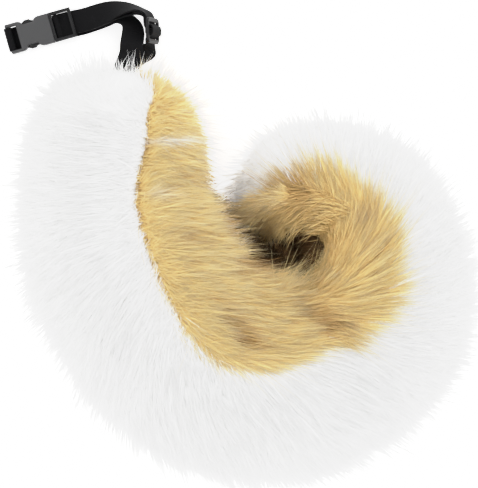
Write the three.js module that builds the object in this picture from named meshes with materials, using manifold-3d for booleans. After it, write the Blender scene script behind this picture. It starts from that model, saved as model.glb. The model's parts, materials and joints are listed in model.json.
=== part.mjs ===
import * as THREE from 'three';
import { mergeVertices } from 'three/addons/utils/BufferGeometryUtils.js';
import Module from 'manifold-3d';

const wasm = await Module();
wasm.setup();

// A long-pile costume tail that curls once round, lying on its side, with a belt loop at its thick end.
// Millimetres, +Z up. The curl turns about x = 0, y = 0 while the pieces are made.

// Tail
const curlReach = 263; // middle of the curl to the centre line at the strap end
const furWidth = 252; // across the pile where the tail is fullest
const furHeight = 158; // height of the pile above the surface there
const backingInnerShare = 0.82; // stuffed backing's half width on the inside of the curl, of the pile's
const backingOuterShare = 0.9; // the same on the outside
const backingHeightShare = 0.93; // stuffed backing's height, of the pile's
const widestShare = 0.34; // height of the widest level, of the pile's height
const sinkShare = 0.42; // depth of the section below its widest level, cut flat by the surface
const startRounding = 38; // length over which the backing rounds off at the strap end
const endRounding = 62; // the same at the tip
const seamGap = 0.4; // between the white and the tan fur

// Locks of pile
const lockSpacing = 50; // along the tail, from one ring of locks to the next
const innerLockSpacing = 64; // the same on the inside of the curl, where the rings crowd
const lockSweep = 50; // how far a lock's point lies nearer the tail's tip than its root
const lockPitch = 56; // round the section, from one lock to the next
const lockThickness = 15;
const lockFlare = 0.05; // how much the points reach in or out by turns, of the section
const lockSides = 4;
const lockSteps = 3;
const lockRoot = 0.8; // where the locks are rooted in the backing, of its section
const lockRise = 0.7; // how far a lock rises before it turns over, of the pile
const lockLead = 0.25; // how far it has gone to its point by then
const lockStagger = 0.34; // of the pitch, from one ring to the next
const lowestLock = 35.5; // degrees below the widest level
const endLockRoot = 0.6; // the same as lockRoot for the locks at both ends
const endLockReach = 12; // how far the locks at both ends stand past the backing
const endLockHalfWidth = 20;

// Webbing
const webWidth = 25;
const webThickness = 1.6;
const clearance = 0.3; // between webbing and what it lies on or passes through
const strapReach = 163; // from the tail's entry to the buckle's far end, which the routes follow
const strapLevel = 42; // height at which the webbing enters the tail
const sewnDepth = 24; // how far the webbing goes into the tail
const strandGap = 2.2; // between the middles of two strands that lie together
const bendSlack = 2.6; // how much further apart the doubled strands stand at their bend
const stackGap = 7; // from the upper strand down to the third one under the pair
const stackGrowth = 1; // how much further down the third one is at the buckle
const stackShift = 2.6; // how far the third strand peeps out beside the pair
const underShift = 4.2; // the same under the buckle, per length of the buckle
const entryOffset = 5.5; // the webbing's entry, outwards of the tail's middle
const entryDepth = 12.4; // the webbing's entry, inwards of the backing's end
const tuckLevel = 5; // height at which the socket's strand ends inside the socket

// Side-release buckle. Places along it are measured from its far end.
const buckleLength = 73.5;
const buckleWidth = 32.5;
const buckleHeight = 11;
const buckleAngle = 15.7; // degrees, rising to the right
const socketLength = 49;
const shellWall = 2.2;
const shellCorner = 2;
const shellBevel = 0.8;
const socketBarWidth = 4;
const barHeight = 6;
const barRaise = 0.7; // the socket's bar above the shell's underside
const slotLength = 8;
const slotEase = 0.8; // room in the slots at each edge of the webbing
const waistStart = 13; // where the socket's sides start to draw in
const waistEnd = 38;
const waistSlope = 7; // length of the slopes into and out of the waist
const waistEase = 2; // how soon the slopes flatten
const waistDepth = 4.6;
const shoulder = 2.6;
const shoulderLow = 0.6;
const plugBarWidth = 3.6;
const plugBarHeight = 3;
const plugBarLevel = 4.6;
const endBarWidth = 3.4;
const endBarHeight = 3.2;
const railWidth = 3;
const railSetDown = 0.4; // the rails' top below the shell's, and their underside below the plug's bar
const armWidth = 4.4;
const armSetBack = 1.2; // the arms' outer faces, inside the shell's inner faces
const tongueWidth = 4.8;
const padStart = 17.5;
const padFaceStart = 22.5;
const padFaceEnd = 28;
const padEnd = 33;
const padSetBack = 0.4; // the release pads' faces, inside the shell's sides

// Tri-glide slider
const sliderWidth = 33;
const sliderLength = 28;
const sliderThickness = 3.5;
const sliderBar = 4.5;
const sliderSlot = 7;
const sliderCorner = 5.5;
const sliderBevel = 0.7;
const sliderLean = 71; // degrees, from lying flat

// Sections of the tail from the strap end to the tip. turn is in degrees round the curl. reach is a share of
// curlReach, width of furWidth and height of furHeight. seam is how far the colour seam lies towards the
// inside of the curl, a share of half the width.
const sections = [
  { turn: 131, reach: 1.0, width: 0.53, height: 0.62, seam: 0.42 },
  { turn: 136, reach: 0.932, width: 0.66, height: 0.74, seam: 0.38 },
  { turn: 142, reach: 0.874, width: 0.76, height: 0.84, seam: 0.3 },
  { turn: 149.5, reach: 0.814, width: 0.845, height: 0.9, seam: 0.29 },
  { turn: 157.7, reach: 0.764, width: 0.87, height: 0.94, seam: 0.22 },
  { turn: 166.8, reach: 0.721, width: 0.9, height: 0.97, seam: 0.2 },
  { turn: 176.5, reach: 0.674, width: 0.95, height: 0.99, seam: 0.18 },
  { turn: 188, reach: 0.618, width: 0.99, height: 1.0, seam: 0.14 },
  { turn: 201, reach: 0.582, width: 0.985, height: 1.0, seam: 0.12 },
  { turn: 215, reach: 0.569, width: 0.97, height: 1.0, seam: 0.09 },
  { turn: 232, reach: 0.55, width: 0.957, height: 0.99, seam: 0.06 },
  { turn: 249, reach: 0.531, width: 0.93, height: 0.98, seam: 0.09 },
  { turn: 268, reach: 0.517, width: 0.905, height: 0.96, seam: 0.1 },
  { turn: 286, reach: 0.49, width: 0.84, height: 0.93, seam: 0.1 },
  { turn: 306, reach: 0.479, width: 0.825, height: 0.9, seam: 0.04 },
  { turn: 330, reach: 0.442, width: 0.785, height: 0.87, seam: -0.1 },
  { turn: 360, reach: 0.395, width: 0.665, height: 0.82, seam: -0.2 },
  { turn: 390, reach: 0.364, width: 0.6, height: 0.76, seam: -0.25 },
  { turn: 420, reach: 0.326, width: 0.51, height: 0.69, seam: -0.26 },
  { turn: 450, reach: 0.302, width: 0.43, height: 0.6, seam: -0.1 },
  { turn: 472, reach: 0.27, width: 0.33, height: 0.5, seam: -0.05 },
  { turn: 492, reach: 0.238, width: 0.22, height: 0.4, seam: 0 },
];

// Middle of the bay between the strap end and the tip, from the tip outwards, in shares of curlReach.
const bayMiddle = [
  { across: -0.255, along: 0.165 },
  { across: -0.24, along: 0.32 },
  { across: -0.22, along: 0.44 },
  { across: -0.2, along: 0.95 },
];

// Routes of the webbing between its fittings. left and up are shares of strapReach from where it enters
// the tail, rise is the height of its lower edge, a share of strapLevel, and lean is in degrees from flat.
const socketStrandRoute = [
  { left: -0.023, up: 0.073, rise: 0.91, lean: 0 },
  { left: -0.047, up: 0.147, rise: 0.75, lean: 0 },
  { left: -0.052, up: 0.213, rise: 0.69, lean: 3 },
  { left: -0.058, up: 0.267, rise: 0.46, lean: 14 },
  { left: -0.06, up: 0.313, rise: 0.27, lean: 27 },
  { left: -0.048, up: 0.353, rise: 0.13, lean: 41 },
  { left: -0.017, up: 0.385, rise: 0.06, lean: 50 },
  { left: 0.023, up: 0.407, rise: 0.02, lean: 45 },
];
const sliderStrandRoute = [
  { left: -0.027, up: 0.073, rise: 0.84, lean: 0 },
  { left: -0.063, up: 0.123, rise: 0.5, lean: 8 },
  { left: -0.11, up: 0.16, rise: 0.16, lean: 32 },
  { left: -0.158, up: 0.185, rise: 0.03, lean: 45 },
];
const doubledStrandRoute = [
  { left: -0.157, up: 0.425, rise: 0.08, lean: 74 },
  { left: -0.122, up: 0.447, rise: 0.08, lean: 78 },
  { left: -0.077, up: 0.463, rise: 0.09, lean: 74 },
  { left: -0.027, up: 0.466, rise: 0.12, lean: 62 },
  { left: 0.023, up: 0.46, rise: 0.152, lean: 50 },
  { left: 0.083, up: 0.447, rise: 0.175, lean: 34 },
  { left: 0.137, up: 0.43, rise: 0.193, lean: 19 },
  { left: 0.19, up: 0.412, rise: 0.2, lean: 8 },
  { left: 0.243, up: 0.395, rise: 0.2, lean: 2 },
  { left: 0.293, up: 0.383, rise: 0.19, lean: 0 },
];
const stackStart = 18; // station of the doubled strand where the third one goes under it
const underBuckleStations = [0.8, 0.5, 0.24]; // places of the third strand under the buckle, of its length

// The webbing's way through one slot of the slider, from outside to over the middle bar. along is measured
// from the slot's middle in shares of sliderSlot, level is 0 under the outer bar and 1 over the middle bar.
const slotPass = [
  { along: 0.514, level: 0 },
  { along: 0.286, level: 0.105 },
  { along: 0.071, level: 0.375 },
  { along: -0.071, level: 0.638 },
  { along: -0.214, level: 0.908 },
  { along: -0.596, level: 1 },
];

const up = new THREE.Vector3(0, 0, 1);
const radians = THREE.MathUtils.degToRad;
const mix = THREE.MathUtils.lerp;
const point = (x, y, z) => new THREE.Vector3(x, y, z);

// Geometry helpers
function warped(geometry, place) {
  const at = geometry.attributes.position;
  for (let i = 0; i < at.count; i += 1) {
    const moved = place(at.getX(i), at.getY(i), at.getZ(i));
    at.setXYZ(i, moved.x, moved.y, moved.z);
  }
  return geometry;
}

function solidOf(geometry) {
  const bare = geometry.clone();
  bare.deleteAttribute('normal');
  bare.deleteAttribute('uv');
  const merged = mergeVertices(bare);
  return new wasm.Manifold(new wasm.Mesh({
    numProp: 3,
    vertProperties: new Float32Array(merged.attributes.position.array),
    triVerts: new Uint32Array(merged.index.array),
  }));
}

function joined(geometries) {
  return geometries.map(solidOf).reduce((whole, next) => whole.add(next));
}

function geometryOf(solid) {
  const mesh = solid.getMesh();
  const geometry = new THREE.BufferGeometry();
  geometry.setAttribute('position', new THREE.Float32BufferAttribute(mesh.vertProperties, 3));
  geometry.setIndex(new THREE.BufferAttribute(new Uint32Array(mesh.triVerts), 1));
  geometry.computeVertexNormals();
  return geometry;
}

function namedMesh(name, geometry, colour, roughness) {
  const material = new THREE.MeshStandardMaterial({ color: colour, roughness, metalness: 0 });
  const mesh = new THREE.Mesh(geometry, material);
  mesh.name = name;
  return mesh;
}

function block(xs, ys, zs) {
  const geometry = new THREE.BoxGeometry(xs[1] - xs[0], ys[1] - ys[0], zs[1] - zs[0]);
  geometry.translate((xs[0] + xs[1]) / 2, (ys[0] + ys[1]) / 2, (zs[0] + zs[1]) / 2);
  return geometry;
}

function prism(outline, low, high) {
  const shape = new THREE.Shape(outline.map(({ x, y }) => new THREE.Vector2(x, y)));
  const geometry = new THREE.ExtrudeGeometry(shape, { depth: high - low, bevelEnabled: false });
  geometry.translate(0, 0, low);
  return geometry;
}

// The tail's surfaces
const centreLine = new THREE.CatmullRomCurve3(
  sections.map(({ turn, reach }) => point(
    curlReach * reach * Math.cos(radians(turn)),
    curlReach * reach * Math.sin(radians(turn)),
    0,
  )),
  false,
  'catmullrom',
  0.5,
);
const sectionSizes = new THREE.CatmullRomCurve3(
  sections.map(({ width, height, seam }) => point(width * furWidth / 2, height * furHeight, seam)),
  false,
  'catmullrom',
  0.5,
);
const tailLength = centreLine.getLength();

// The frame of the section at a share of the tail's length: middle, direction to the tip, direction out of
// the curl, half width, height and seam.
function sectionAt(share) {
  const inside = THREE.MathUtils.clamp(share, 0, 1);
  const t = centreLine.getUtoTmapping(inside, 0);
  const forward = centreLine.getTangent(t);
  const middle = centreLine.getPoint(t).addScaledVector(forward, (share - inside) * tailLength);
  const outward = forward.clone().cross(up);
  const sizes = sectionSizes.getPoint(t);
  return { middle, forward, outward, half: sizes.x, height: sizes.y, seam: sizes.z };
}

// A point on the section: angle 0 faces out of the curl, 90 degrees up. grow is 0 on the backing, 1 on the
// pile's outer form, and size shrinks the section towards its middle.
function surfacePoint(share, angle, grow, size = 1) {
  const { middle, outward, half, height } = sectionAt(share);
  const backingShare = Math.cos(angle) > 0 ? backingOuterShare : backingInnerShare;
  const across = half * mix(backingShare, 1, grow) * size * Math.cos(angle);
  const rise = Math.sin(angle);
  const top = height * (mix(backingHeightShare, 1, grow) - widestShare);
  const level = height * widestShare + (rise > 0 ? top : height * sinkShare) * rise * size;
  return middle.clone().addScaledVector(outward, across).setZ(level);
}

function backing() {
  const around = 16;
  const along = 42;
  return warped(new THREE.SphereGeometry(1, around, along), (x, y, z) => {
    const share = 1 - Math.acos(THREE.MathUtils.clamp(y, -1, 1)) / Math.PI;
    const toEnd = Math.min(share / startRounding, (1 - share) / endRounding) * tailLength;
    const size = toEnd < 1 ? Math.sqrt(1 - (1 - toEnd) ** 2) : 1;
    return surfacePoint(share, Math.atan2(z, x), 0, size);
  });
}

// One curved lock from root to point, widest near its root.
function lock(root, knee, end, normal, halfWidth) {
  const curve = new THREE.QuadraticBezierCurve3(root, knee, end);
  return warped(new THREE.ConeGeometry(1, 1, lockSides, lockSteps), (x, y, z) => {
    const share = y + 0.5;
    const along = curve.getTangent(share);
    const side = along.clone().cross(normal).normalize();
    const lift = side.clone().cross(along).normalize();
    const taper = share < 1 ? (1 - share ** 1.6) / (1 - share) : 0;
    return curve.getPoint(share)
      .addScaledVector(side, x * taper * halfWidth)
      .addScaledVector(lift, z * taper * lockThickness / 2);
  });
}

function lockAt(share, angle, flare, halfWidth) {
  const inner = surfacePoint(share, angle, 0, lockRoot);
  const outer = surfacePoint(share, angle, 1);
  const normal = outer.clone().sub(inner).normalize();
  const end = surfacePoint(share + lockSweep / tailLength, angle, 1 + flare / (1 - backingInnerShare));
  const knee = surfacePoint(share, angle, lockRise).lerp(end, lockLead);
  return lock(inner, knee, end, normal, halfWidth);
}

// Rings of locks on one side of the colour seam: side 1 is the outside of the curl, side -1 the inside.
function ringsOfLocks(side) {
  const locks = [];
  const spacing = side > 0 ? lockSpacing : innerLockSpacing;
  const rings = Math.round((tailLength - endRounding) / spacing);
  for (let ring = 0; ring < rings; ring += 1) {
    const share = (endRounding / 2 + ring * spacing) / tailLength;
    const { half, height, seam } = sectionAt(share);
    const seamAngle = Math.acos(THREE.MathUtils.clamp(-seam / backingInnerShare, -1, 1));
    const floorAngle = side > 0 ? -radians(lowestLock) : Math.PI + radians(lowestLock);
    const arc = Math.abs(seamAngle - floorAngle);
    const girth = arc * (half + height / 2) / 2;
    const count = Math.max(2, Math.round(girth / lockPitch));
    for (let i = 0; i < count; i += 1) {
      const stagger = ring % 2 ? lockStagger : 1 - lockStagger;
      const angle = mix(seamAngle, floorAngle, (i + stagger) / count);
      const flare = lockFlare * (((ring * 5 + i * 3) % 7) / 3 - 1);
      locks.push(lockAt(share, angle, flare, girth / count / 2));
    }
  }
  return locks;
}

// A fan of locks round one end of the tail, pointing away from it.
function endLocks(atTip, firstAngle, lastAngle, count) {
  const inset = (atTip ? endRounding : startRounding) / 2;
  const share = atTip ? 1 - inset / tailLength : inset / tailLength;
  const away = sectionAt(share).forward.multiplyScalar(atTip ? 1 : -1);
  return Array.from({ length: count }, (unused, i) => {
    const angle = radians(mix(firstAngle, lastAngle, i / (count - 1)));
    const root = surfacePoint(share, angle, 0, endLockRoot);
    const rim = surfacePoint(share, angle, 0, 0.9);
    const reach = inset + endLockReach * (i % 2 ? 0.8 : 1);
    const end = surfacePoint(share, angle, 0.2, 0.9).addScaledVector(away, reach);
    const knee = rim.clone().addScaledVector(away, reach / 2);
    const normal = rim.clone().sub(root).normalize();
    return lock(root, knee, end, normal, endLockHalfWidth);
  });
}

// Everything on the inside of the colour seam, as an upright prism.
function insideOfSeam(shift) {
  const steps = 60;
  const beforeStart = -0.12;
  const outline = [];
  for (let i = 0; i <= steps; i += 1) {
    const share = mix(beforeStart, 1, i / steps);
    const { middle, outward, half, seam } = sectionAt(share);
    outline.push(middle.clone().addScaledVector(outward, shift - seam * half));
  }
  const bay = bayMiddle.map(({ across, along }) => point(across * curlReach, along * curlReach, 0));
  const away = point(-shift, 0, 0);
  bay.forEach((corner) => outline.push(corner.clone().sub(away)));
  return prism(outline, -furHeight, 2 * furHeight);
}

// Fittings' frames
const entry = sectionAt(0).middle.setZ(strapLevel)
  .addScaledVector(sectionAt(0).outward, entryOffset)
  .addScaledVector(sectionAt(0).forward, entryDepth);

function placed(left, rise, level) {
  return point(entry.x - left * strapReach, entry.y + rise * strapReach, level);
}

const buckleForward = point(Math.cos(radians(buckleAngle)), Math.sin(radians(buckleAngle)), 0);
const buckleAcross = point(-buckleForward.y, buckleForward.x, 0);
const underBuckle = webThickness + clearance;
const buckleEnd = placed(0.777, 0.253, 0);
const sliderHalfHigh = sliderWidth / 2 * Math.sin(radians(sliderLean)) + sliderThickness / 2;
const sliderMiddle = placed(-0.187, 0.31, sliderHalfHigh);

function onBuckle(along, across, level) {
  return buckleEnd.clone()
    .addScaledVector(buckleForward, along)
    .addScaledVector(buckleAcross, across)
    .setZ(level);
}

const layer = webThickness / 2 + clearance;
const socketBarMiddle = { along: shellWall, level: underBuckle + barRaise + barHeight / 2 };
const endBarLow = underBuckle + buckleHeight - railSetDown - endBarHeight;
const plugStart = socketLength + clearance;
const plugBarMiddle = {
  along: plugStart + shoulder + layer + webThickness / 2 + clearance + plugBarWidth / 2,
  level: underBuckle + plugBarLevel,
};

// Webbing: stations hold a place and the direction across the webbing.
function acrossWeb(heading, lean) {
  const right = heading.clone().cross(up).normalize();
  const normal = right.clone().cross(heading).normalize();
  normal.multiplyScalar(Math.cos(radians(lean))).addScaledVector(right, Math.sin(radians(lean)));
  return heading.clone().cross(normal).normalize();
}

function routeStations(route, before, after) {
  const places = route.map(({ left, up: share, rise, lean }) => {
    const halfHigh = webWidth / 2 * Math.sin(radians(lean)) + webThickness / 2 * Math.cos(radians(lean));
    return placed(left, share, rise * strapLevel + halfHigh);
  });
  return places.map((place, i) => {
    const heading = (places[i + 1] ?? after).clone().sub(places[i - 1] ?? before).normalize();
    return { place, across: acrossWeb(heading, route[i].lean) };
  });
}

function smoothStations(stations, steps) {
  const places = new THREE.CatmullRomCurve3(stations.map(({ place }) => place), false, 'centripetal');
  const acrosses = stations.map(({ across }) => across);
  const directions = new THREE.CatmullRomCurve3(acrosses, false, 'catmullrom', 0.5);
  const lengths = stations.length - 1;
  return Array.from({ length: lengths * steps + 1 }, (unused, i) => ({
    place: places.getPoint(i / (lengths * steps)),
    across: directions.getPoint(i / (lengths * steps)).normalize(),
  }));
}

function normalAt(stations, i) {
  const next = stations[Math.min(i + 1, stations.length - 1)].place;
  const last = stations[Math.max(i - 1, 0)].place;
  const heading = next.clone().sub(last).normalize();
  return stations[i].across.clone().cross(heading).normalize();
}

function ribbon(stations, width, thickness) {
  const steps = stations.length - 1;
  return warped(new THREE.BoxGeometry(1, 1, 1, 1, steps, 1), (x, y, z) => {
    const i = Math.round((y + 0.5) * steps);
    const normal = normalAt(stations, i);
    const heading = normal.clone().cross(stations[i].across).normalize();
    const across = heading.clone().cross(normal).normalize();
    return stations[i].place.clone()
      .addScaledVector(across, x * width)
      .addScaledVector(normal, z * thickness);
  });
}

// The way round a bar at the webbing's clearance. Each corner is given by the angle at which it is reached
// and the angle at which it is left, in degrees.
function wrap(stationAt, bar, halfAlong, halfLevel, corners) {
  const steps = 3;
  return corners.flatMap(([from, to]) => Array.from({ length: steps + 1 }, (unused, i) => {
    const turn = radians(mix(from, to, i / steps));
    const corner = radians((from + to) / 2);
    return stationAt(
      bar.along + Math.sign(Math.cos(corner)) * halfAlong + layer * Math.cos(turn),
      bar.level + Math.sign(Math.sin(corner)) * halfLevel + layer * Math.sin(turn),
    );
  }));
}

function onBuckleMiddle(along, level) {
  return { place: onBuckle(along, 0, level), across: buckleAcross };
}

function sewnEnd(level) {
  const forward = sectionAt(0).forward;
  const inside = entry.clone().addScaledVector(forward, sewnDepth).setZ(level);
  const out = entry.clone().setZ(level);
  const heading = out.clone().sub(inside).normalize();
  const across = acrossWeb(heading, 0);
  return [{ place: inside, across }, { place: out, across }];
}

const sliderHeading = point(-0.02, 1, 0).normalize();
const sliderAcross = acrossWeb(sliderHeading, sliderLean);
const sliderNormal = sliderAcross.clone().cross(sliderHeading).normalize();

function onSlider(along, out) {
  return {
    place: sliderMiddle.clone().addScaledVector(sliderHeading, along).addScaledVector(sliderNormal, out),
    across: sliderAcross,
  };
}

// Levels of the webbing through the slider: under its outer bars, and over what is round its middle bar.
const sliderLow = -(sliderThickness / 2 + layer);
const sliderHigh = sliderThickness / 2 + layer + webThickness + clearance;
const sliderLead = sliderLength / 2 + 1;

// The upper strand from the slider to the plug.
function doubledStrand() {
  const start = onSlider(sliderLead, sliderLow);
  const end = onBuckleMiddle(buckleLength - endBarWidth / 2, endBarLow - layer);
  return smoothStations([start, ...routeStations(doubledStrandRoute, start.place, end.place), end], 3);
}

// The strand from the tail under the buckle and round the socket's bar.
function socketStrand() {
  const ends = sewnEnd(strapLevel);
  const upper = doubledStrand();
  const beside = upper.slice(stackStart, -3).filter((unused, i) => i % 3 === 0).map((station, i, all) => {
    const share = i / (all.length - 1);
    const place = station.place.clone()
      .addScaledVector(normalAt(upper, upper.indexOf(station)), -stackGap - stackGrowth * share)
      .addScaledVector(station.across, -stackShift * share);
    return { place, across: station.across };
  });
  const under = underBuckleStations.map((share, i, all) => ({
    place: onBuckle(buckleLength * share, -underShift * (share - all.at(-1)), webThickness / 2),
    across: buckleAcross,
  }));
  const route = routeStations(socketStrandRoute, ends[1].place, beside[0].place);
  const free = smoothStations([...ends, ...route, ...beside, ...under], 3);
  free.forEach(({ place }) => place.setZ(Math.max(place.z, webThickness / 2)));
  const round = wrap(onBuckleMiddle, socketBarMiddle, socketBarWidth / 2, barHeight / 2, [
    [270, 180],
    [180, 90],
    [90, 15],
  ]);
  const tuck = onBuckleMiddle(socketBarMiddle.along + socketBarWidth / 2 + layer + clearance, tuckLevel);
  return [...free, ...round, tuck];
}

// The strand from the tail through the slider, round the plug's bar and back to the slider's middle bar.
function sliderStrand() {
  const ends = sewnEnd(strapLevel - strandGap);
  const halfBar = sliderBar / 2;
  const slotMiddle = halfBar + sliderSlot / 2;
  const outOf = (side) => [
    onSlider(side * sliderLead, sliderLow),
    ...slotPass.map(({ along, level }) => onSlider(
      side * (slotMiddle + along * sliderSlot),
      mix(sliderLow, sliderHigh, level),
    )),
  ];
  const through = [...outOf(-1), ...outOf(1).reverse()];
  const lead = routeStations(sliderStrandRoute, ends[1].place, through[0].place);
  const outgoing = doubledStrand();
  const back = outgoing.map(({ place, across }, i) => {
    const share = i / (outgoing.length - 1);
    const apart = strandGap + bendSlack * Math.sin(Math.PI * Math.min(1, share * 1.6)) ** 2;
    return { place: place.clone().addScaledVector(normalAt(outgoing, i), -apart), across };
  }).reverse();
  const plugSide = wrap(onBuckleMiddle, plugBarMiddle, plugBarWidth / 2, plugBarHeight / 2, [
    [60, 90],
    [90, 180],
    [180, 270],
    [270, 300],
  ]);
  const middleBar = { along: 0, level: 0 };
  const endRound = [
    onSlider(slotMiddle, sliderLow - webThickness),
    onSlider(halfBar, sliderLow),
    ...wrap(onSlider, middleBar, halfBar, sliderThickness / 2, [
      [270, 180],
      [180, 90],
    ]),
    onSlider(halfBar / 2, -sliderLow),
  ];
  return [
    ...smoothStations([...ends, ...lead, through[0]], 3),
    ...through.slice(1, -1),
    ...outgoing,
    ...plugSide,
    ...back,
    ...endRound,
  ];
}

// The buckle is made along X from its far end and then turned and set down.
function onTheSlant(geometry) {
  geometry.rotateZ(radians(buckleAngle));
  geometry.translate(buckleEnd.x, buckleEnd.y, underBuckle);
  return geometry;
}

function socketOutline() {
  const half = buckleWidth / 2;
  const waist = half - waistDepth;
  const narrowStart = waistStart + waistSlope;
  const narrowEnd = waistEnd - waistSlope;
  const shape = new THREE.Shape();
  shape.moveTo(shellCorner, -half);
  shape.lineTo(waistStart, -half);
  shape.quadraticCurveTo(narrowStart - waistEase, -half, narrowStart, -waist);
  shape.lineTo(narrowEnd, -waist);
  shape.quadraticCurveTo(narrowEnd + waistEase, -half, waistEnd, -half);
  shape.lineTo(socketLength, -half);
  shape.lineTo(socketLength, half);
  shape.lineTo(waistEnd, half);
  shape.quadraticCurveTo(narrowEnd + waistEase, half, narrowEnd, waist);
  shape.lineTo(narrowStart, waist);
  shape.quadraticCurveTo(narrowStart - waistEase, half, waistStart, half);
  shape.lineTo(shellCorner, half);
  shape.quadraticCurveTo(0, half, 0, half - shellCorner);
  shape.lineTo(0, shellCorner - half);
  shape.quadraticCurveTo(0, -half, shellCorner, -half);
  return shape;
}

function buckleSocket() {
  const outer = new THREE.ExtrudeGeometry(socketOutline(), {
    depth: buckleHeight - 2 * shellBevel,
    bevelSize: shellBevel,
    bevelThickness: shellBevel,
    bevelOffset: -shellBevel,
    bevelSegments: 1,
    curveSegments: 4,
  });
  outer.translate(0, 0, shellBevel);
  const inside = buckleWidth / 2 - shellWall;
  const web = webWidth / 2 + slotEase;
  const barStart = socketBarMiddle.along - socketBarWidth / 2;
  const barEnd = barStart + socketBarWidth;
  const slotEnd = barEnd + slotLength;
  const past = 1;
  const above = buckleHeight + past;
  const cuts = [
    block([barEnd, slotEnd], [-web, web], [-past, above]),
    block([-past, slotEnd], [-web, web], [-past, barRaise]),
    block([-past, slotEnd], [-web, web], [barRaise + barHeight, above]),
    block([-past, barStart], [-web, web], [-past, above]),
    block(
      [slotEnd + shellWall, socketLength + past],
      [-inside, inside],
      [shellWall, buckleHeight - shellWall],
    ),
  ];
  return onTheSlant(geometryOf(solidOf(outer).subtract(joined(cuts))));
}

function bucklePlug() {
  const half = buckleWidth / 2;
  const low = shellWall + clearance;
  const high = buckleHeight - shellWall - clearance;
  const railHigh = buckleHeight - railSetDown;
  const outer = half - shellWall - clearance;
  const inner = outer - armWidth;
  const face = half - padSetBack;
  const across = [-half, half];
  const between = (middle, size) => [middle - size / 2, middle + size / 2];
  const onSide = (side, near, far) => (side > 0 ? [near, far] : [-far, -near]);
  const pads = [1, -1].map((side) => {
    const shape = new THREE.Shape();
    shape.moveTo(padStart, side * inner);
    shape.lineTo(padEnd, side * inner);
    shape.lineTo(padEnd, side * (outer - padSetBack));
    shape.quadraticCurveTo(padFaceEnd, side * outer, padFaceEnd, side * face);
    shape.lineTo(padFaceStart, side * face);
    shape.quadraticCurveTo(padStart, side * outer, padStart, side * inner);
    const geometry = new THREE.ExtrudeGeometry(shape, {
      depth: high - low,
      bevelEnabled: false,
      curveSegments: 3,
    });
    geometry.translate(0, 0, low);
    return geometry;
  });
  const arms = [1, -1].map((side) => block(
    [padFaceEnd, plugStart + shoulder / 2],
    onSide(side, inner, outer - armSetBack),
    [low, high],
  ));
  const rails = [1, -1].map((side) => block(
    [plugStart, buckleLength],
    onSide(side, half - railWidth, half),
    [plugBarLevel - plugBarHeight / 2 - railSetDown, railHigh],
  ));
  const pieces = [
    block([plugStart, plugStart + shoulder], across, [shoulderLow, railHigh]),
    block([padFaceStart, plugStart + shoulder / 2], between(0, tongueWidth), [low, high]),
    block(between(plugBarMiddle.along, plugBarWidth), across, between(plugBarLevel, plugBarHeight)),
    block([buckleLength - endBarWidth, buckleLength], across, [endBarLow - underBuckle, railHigh]),
    ...pads,
    ...arms,
    ...rails,
  ];
  return onTheSlant(geometryOf(joined(pieces)));
}

function roundedRectangle(across, along, radius) {
  const shape = new THREE.Shape();
  shape.absarc(across - radius, along - radius, radius, 0, Math.PI / 2);
  shape.absarc(radius - across, along - radius, radius, Math.PI / 2, Math.PI);
  shape.absarc(radius - across, radius - along, radius, Math.PI, Math.PI * 1.5);
  shape.absarc(across - radius, radius - along, radius, Math.PI * 1.5, Math.PI * 2);
  return shape;
}

function slider() {
  const shape = roundedRectangle(sliderWidth / 2, sliderLength / 2, sliderCorner);
  const web = webWidth / 2 + slotEase;
  [1, -1].forEach((side) => {
    const near = side * sliderBar / 2;
    const far = side * (sliderBar / 2 + sliderSlot);
    const hole = new THREE.Path();
    hole.moveTo(-web, near);
    hole.lineTo(-web, far);
    hole.lineTo(web, far);
    hole.lineTo(web, near);
    hole.closePath();
    shape.holes.push(hole);
  });
  const geometry = new THREE.ExtrudeGeometry(shape, {
    depth: sliderThickness - 2 * sliderBevel,
    bevelSize: sliderBevel,
    bevelThickness: sliderBevel,
    bevelOffset: -sliderBevel,
    bevelSegments: 1,
    curveSegments: 4,
  });
  geometry.translate(0, 0, sliderBevel - sliderThickness / 2);
  const turn = new THREE.Matrix4().makeBasis(sliderAcross, sliderHeading, sliderNormal);
  geometry.applyMatrix4(turn);
  geometry.translate(sliderMiddle.x, sliderMiddle.y, sliderMiddle.z);
  return geometry;
}

// The two furs: backing and locks in one, cut at the surface, at the seam and for the webbing.
function fur(side, cutOut) {
  const wide = 4 * curlReach;
  const above = solidOf(block([-wide, wide], [-wide, wide], [0, 4 * furHeight]));
  const ends = side > 0
    ? [...endLocks(false, -10, 96, 5), ...endLocks(true, 20, 80, 2)]
    : [...endLocks(false, 150, 190, 2), ...endLocks(true, 110, 200, 3)];
  const whole = joined([backing(), ...ringsOfLocks(side), ...ends]).intersect(above);
  return whole.subtract(cutOut);
}

const webPath = { socket: socketStrand(), slider: sliderStrand() };
const webSlots = joined([
  ribbon(webPath.socket.slice(0, 12), webWidth + 2 * clearance, webThickness + 2 * clearance),
  ribbon(webPath.slider.slice(0, 10), webWidth + 2 * clearance, webThickness + 2 * clearance),
]);
const tanSide = solidOf(insideOfSeam(0));
const tanAndGap = solidOf(insideOfSeam(seamGap));
const whiteFur = fur(1, tanAndGap.add(webSlots));
const tanFur = fur(-1, webSlots).intersect(tanSide);

const tail = new THREE.Group();
tail.add(
  namedMesh('tail_white_fur', geometryOf(whiteFur), 0xf1f1f0, 0.9),
  namedMesh('tail_tan_fur', geometryOf(tanFur), 0xd5b87f, 0.9),
  namedMesh('strap_socket_side', ribbon(webPath.socket, webWidth, webThickness), 0x0f0f10, 0.85),
  namedMesh('strap_slider_side', ribbon(webPath.slider, webWidth, webThickness), 0x0f0f10, 0.85),
  namedMesh('strap_slider', slider(), 0x2b2b2c, 0.45),
  namedMesh('buckle_socket', buckleSocket(), 0x2b2b2c, 0.45),
  namedMesh('buckle_plug', bucklePlug(), 0x2b2b2c, 0.45),
);

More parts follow.
